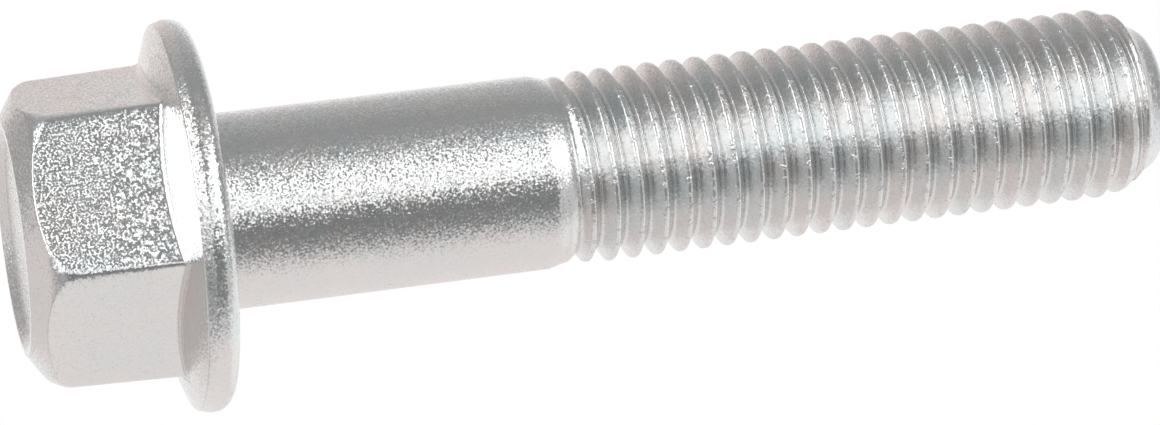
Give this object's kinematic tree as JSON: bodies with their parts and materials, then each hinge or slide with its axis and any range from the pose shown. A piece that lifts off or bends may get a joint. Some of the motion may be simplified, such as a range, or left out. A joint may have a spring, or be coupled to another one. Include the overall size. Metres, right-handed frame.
{
  "type": "flange bolt",
  "caption": "Hexagon flange bolt with a dished head, a plain shank, a fine right-hand thread and a rounded lead at the tip.",
  "frame": {"origin": "centre of the head's end, on the plane that the bolt stands on", "axes": "+Z along the bolt's axis from the head to the tip, with the head down; +X through a corner of the hexagon, so two flats face +Y and -Y"},
  "size_m": [0.0236, 0.0236, 0.0714],
  "materials": {
    "zinc_plated_steel": "bright zinc plating over cold-forged steel: slightly grainy, with small nicks and worn edges"
  },
  "bodies": {
    "root": {"flange_bolt": "zinc_plated_steel"}
  },
  "joints": []
}
